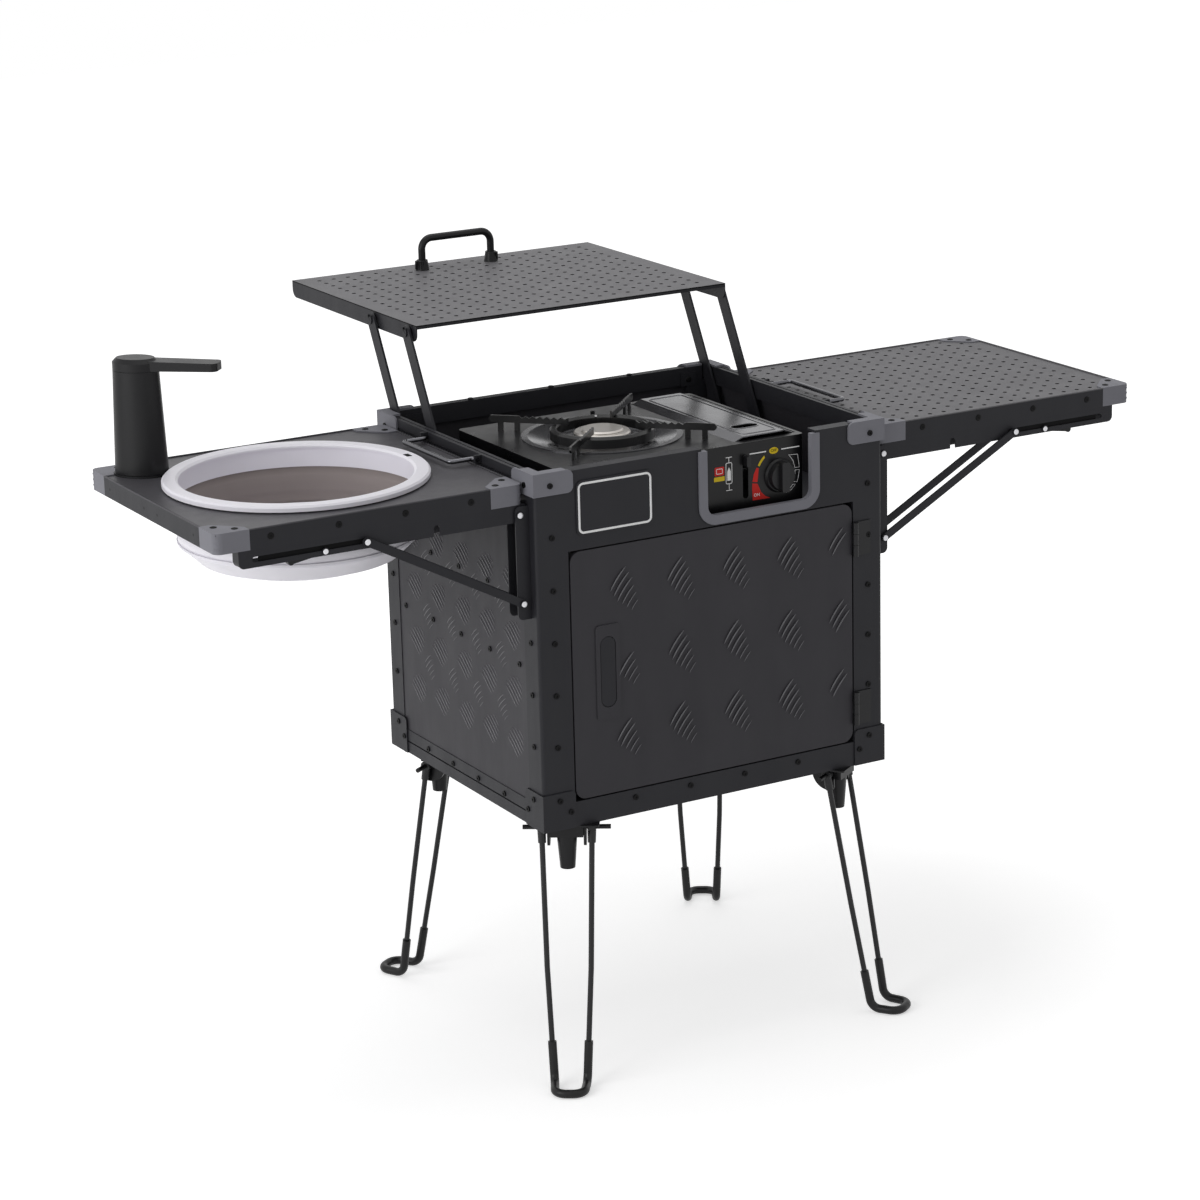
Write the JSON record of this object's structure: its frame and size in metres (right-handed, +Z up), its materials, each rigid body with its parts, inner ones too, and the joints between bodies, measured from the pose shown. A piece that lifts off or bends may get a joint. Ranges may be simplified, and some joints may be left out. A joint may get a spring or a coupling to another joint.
{
  "type": "camp kitchen box",
  "caption": "Camp kitchen box on folding wire legs with fold-out side tables, lift-back lid, gas stove, collapsible basin and faucet.",
  "frame": {"origin": "middle of the footprint at floor level", "axes": "+X to the right table, +Y to the back, +Z up"},
  "size_m": [1.314, 0.7652, 0.958],
  "materials": {
    "black_coat": "matte",
    "frame_coat": "matte",
    "light_coat": "matte",
    "grey_plastic": "matte",
    "black_plastic": "matte",
    "screw_steel": "satin",
    "rivet_steel": "satin",
    "bright_steel": "polished",
    "white_plastic": "satin",
    "soft_band": "matte",
    "black_rubber": "matte",
    "cast_black": "satin"
  },
  "bodies": {
    "box": {"corner_posts": "frame_coat", "frame_rails": "frame_coat", "front_panel": "black_coat", "cutout_trim": "grey_plastic", "bare_plate": "screw_steel", "side_panels": "light_coat", "back_panel": "light_coat", "floor_panel": "light_coat", "shelf_and_ledges": "light_coat", "top_caps": "grey_plastic", "foot_guards": "black_plastic", "hinge_leaves_fixed": "black_coat", "door_catch": "black_plastic", "bail_ears": "black_coat", "link_feet": "rivet_steel", "bracket_bars": "black_coat", "leg_brackets": "black_coat", "frame_screws": "screw_steel"},
    "door": {"door_panel": "frame_coat", "hinge_leaves_door": "black_coat"},
    "pull_flap": {"pull_flap": "black_plastic"},
    "left_bail": {"left_bail": "screw_steel"},
    "right_bail": {"right_bail": "screw_steel"},
    "lid_front_links": {"lid_front_links": "black_coat"},
    "lid_rear_links": {"lid_rear_links": "black_coat"},
    "lid": {"lid_panel": "light_coat", "lid_edges": "light_coat", "lid_handle": "bright_steel"},
    "left_table": {"left_table_deck": "frame_coat", "left_table_edges": "frame_coat", "left_table_corners": "grey_plastic", "left_table_arms": "frame_coat", "faucet_socket": "black_plastic"},
    "right_table": {"right_table_deck": "light_coat", "right_table_edges": "frame_coat", "right_table_corners": "grey_plastic", "right_table_arms": "frame_coat"},
    "left_struts": {"left_struts": "black_coat"},
    "right_struts": {"right_struts": "black_coat"},
    "left_front_lever": {"left_front_lever": "bright_steel"},
    "left_rear_lever": {"left_rear_lever": "bright_steel"},
    "right_front_lever": {"right_front_lever": "bright_steel"},
    "right_rear_lever": {"right_rear_lever": "bright_steel"},
    "basin": {"basin_rim": "white_plastic", "basin_soft_wall": "soft_band"},
    "basin_floor": {"basin_base": "white_plastic"},
    "faucet": {"faucet_body": "black_plastic"},
    "faucet_spout": {"faucet_spout": "black_plastic"},
    "stove": {"stove_case": "black_coat", "stove_base": "black_coat", "burner_head": "cast_black", "drip_pan": "black_coat"},
    "cartridge_cover": {"cartridge_cover": "bright_steel"},
    "pan_support": {"pan_support": "cast_black"},
    "gas_knob": {"gas_knob": "black_plastic"},
    "cartridge_lever": {"cartridge_lever": "black_plastic"},
    "leg_front_left": {"leg_front_left": "black_coat"},
    "leg_front_right": {"leg_front_right": "black_coat"},
    "leg_rear_left": {"leg_rear_left": "black_coat"},
    "leg_rear_right": {"leg_rear_right": "black_coat"}
  },
  "joints": [
    {"name": "door_hinge", "type": "hinge", "parent": "box", "child": "door", "pos_m": [0.2072, -0.32942, 0.369], "axis": [0, 0, 1], "range_deg": [0, 110]},
    {"name": "pull_flap_hinge", "type": "hinge", "parent": "door", "child": "pull_flap", "pos_m": [-0.1463, -0.32492, 0.5265], "axis": [0, 0, -1], "range_deg": [0, 18], "stiffness_Nm_per_rad": 0.05},
    {"name": "left_bail_hinge", "type": "hinge", "parent": "box", "child": "left_bail", "pos_m": [-0.255, -0.11842, 0.781], "axis": [0, 1, 0], "range_deg": [0, 90]},
    {"name": "right_bail_hinge", "type": "hinge", "parent": "box", "child": "right_bail", "pos_m": [0.255, -0.11842, 0.781], "axis": [0, -1, 0], "range_deg": [0, 90]},
    {"name": "lid_front_link_hinge", "type": "hinge", "parent": "box", "child": "lid_front_links", "pos_m": [0, -0.07242, 0.7], "axis": [-1, 0, 0], "range_deg": [-93.98, 0]},
    {"name": "lid_rear_link_hinge", "type": "hinge", "parent": "box", "child": "lid_rear_links", "pos_m": [0, 0.02758, 0.7], "axis": [-1, 0, 0], "range_deg": [-93.98, 0]},
    {"name": "lid_pivot", "type": "hinge", "parent": "lid_front_links", "child": "lid", "pos_m": [0, 0.03258, 0.898], "axis": [-1, 0, 0], "range_deg": [0, 93.98]},
    {"name": "left_table_fold", "type": "hinge", "parent": "box", "child": "left_table", "pos_m": [-0.2625, -0.11842, 0.738], "axis": [0, 1, 0], "range_deg": [-90, 0]},
    {"name": "left_strut_hinge", "type": "hinge", "parent": "box", "child": "left_struts", "pos_m": [-0.2625, -0.11842, 0.628], "axis": [0, 1, 0], "range_deg": [-118.28, 0]},
    {"name": "left_front_lever_hinge", "type": "hinge", "parent": "left_table", "child": "left_front_lever", "pos_m": [-0.5185, -0.29842, 0.7335], "axis": [0, 1, 0], "range_deg": [0, 13]},
    {"name": "left_rear_lever_hinge", "type": "hinge", "parent": "left_table", "child": "left_rear_lever", "pos_m": [-0.5185, 0.06158, 0.7335], "axis": [0, 1, 0], "range_deg": [0, 13]},
    {"name": "right_table_fold", "type": "hinge", "parent": "box", "child": "right_table", "pos_m": [0.2625, -0.11842, 0.738], "axis": [0, -1, 0], "range_deg": [-90, 0]},
    {"name": "right_strut_hinge", "type": "hinge", "parent": "box", "child": "right_struts", "pos_m": [0.2625, -0.11842, 0.628], "axis": [0, -1, 0], "range_deg": [-118.28, 0]},
    {"name": "right_front_lever_hinge", "type": "hinge", "parent": "right_table", "child": "right_front_lever", "pos_m": [0.5185, -0.29842, 0.7335], "axis": [0, -1, 0], "range_deg": [0, 13]},
    {"name": "right_rear_lever_hinge", "type": "hinge", "parent": "right_table", "child": "right_rear_lever", "pos_m": [0.5185, 0.06158, 0.7335], "axis": [0, -1, 0], "range_deg": [0, 13]},
    {"name": "basin_lift", "type": "slide", "parent": "left_table", "child": "basin", "axis": [0, 0, 1], "range_m": [0, 0.095]},
    {"name": "basin_floor_slide", "type": "slide", "parent": "basin", "child": "basin_floor", "axis": [0, 0, 1], "range_m": [0, 0.057], "deforming": ["basin_soft_wall"]},
    {"name": "faucet_lift", "type": "slide", "parent": "left_table", "child": "faucet", "axis": [0, 0, 1], "range_m": [0, 0.045]},
    {"name": "faucet_swivel", "type": "hinge", "parent": "faucet", "child": "faucet_spout", "pos_m": [-0.611, 0.01458, 0.7735], "axis": [0, 0, 1], "range_deg": [-100, 100]},
    {"name": "stove_lift", "type": "slide", "parent": "box", "child": "stove", "axis": [0, 0, 1], "range_m": [0, 0.13]},
    {"name": "pan_support_lift", "type": "slide", "parent": "stove", "child": "pan_support", "axis": [0, 0, 1], "range_m": [0, 0.06]},
    {"name": "cartridge_cover_hinge", "type": "hinge", "parent": "stove", "child": "cartridge_cover", "pos_m": [0.1385, -0.30542, 0.7774], "axis": [0, 1, 0], "range_deg": [0, 80]},
    {"name": "gas_knob_turn", "type": "hinge", "parent": "stove", "child": "gas_knob", "pos_m": [0.1094, -0.30542, 0.7315], "axis": [0, -1, 0], "range_deg": [0, 180]},
    {"name": "cartridge_lever_slide", "type": "slide", "parent": "stove", "child": "cartridge_lever", "axis": [0, 0, -1], "range_m": [0, 0.034]},
    {"name": "leg_front_left_hinge", "type": "hinge", "parent": "box", "child": "leg_front_left", "pos_m": [-0.201, -0.29242, 0.324], "axis": [-0.8443, 0.5358, 0], "range_deg": [-100.15, 0]},
    {"name": "leg_front_right_hinge", "type": "hinge", "parent": "box", "child": "leg_front_right", "pos_m": [0.201, -0.29242, 0.324], "axis": [-0.8443, -0.5358, 0], "range_deg": [-100.15, 0]},
    {"name": "leg_rear_left_hinge", "type": "hinge", "parent": "box", "child": "leg_rear_left", "pos_m": [-0.201, 0.05558, 0.3145], "axis": [0.8443, 0.5358, 0], "range_deg": [-100.15, 0]},
    {"name": "leg_rear_right_hinge", "type": "hinge", "parent": "box", "child": "leg_rear_right", "pos_m": [0.201, 0.05558, 0.3145], "axis": [0.8443, -0.5358, 0], "range_deg": [-100.15, 0]}
  ],
  "couplings": [
    {"joint": "lid_pivot", "follows": "lid_front_link_hinge", "ratio": -1},
    {"joint": "lid_rear_link_hinge", "follows": "lid_front_link_hinge", "ratio": 1},
    {"joint": "basin_floor_slide", "follows": "left_table_fold", "m_per_rad": -0.036287},
    {"joint": "left_strut_hinge", "follows": "left_table_fold", "ratio": 1.3142},
    {"joint": "left_front_lever_hinge", "follows": "left_table_fold", "ratio": -0.14444},
    {"joint": "left_rear_lever_hinge", "follows": "left_table_fold", "ratio": -0.14444},
    {"joint": "right_strut_hinge", "follows": "right_table_fold", "ratio": 1.3142},
    {"joint": "right_front_lever_hinge", "follows": "right_table_fold", "ratio": -0.14444},
    {"joint": "right_rear_lever_hinge", "follows": "right_table_fold", "ratio": -0.14444}
  ]
}
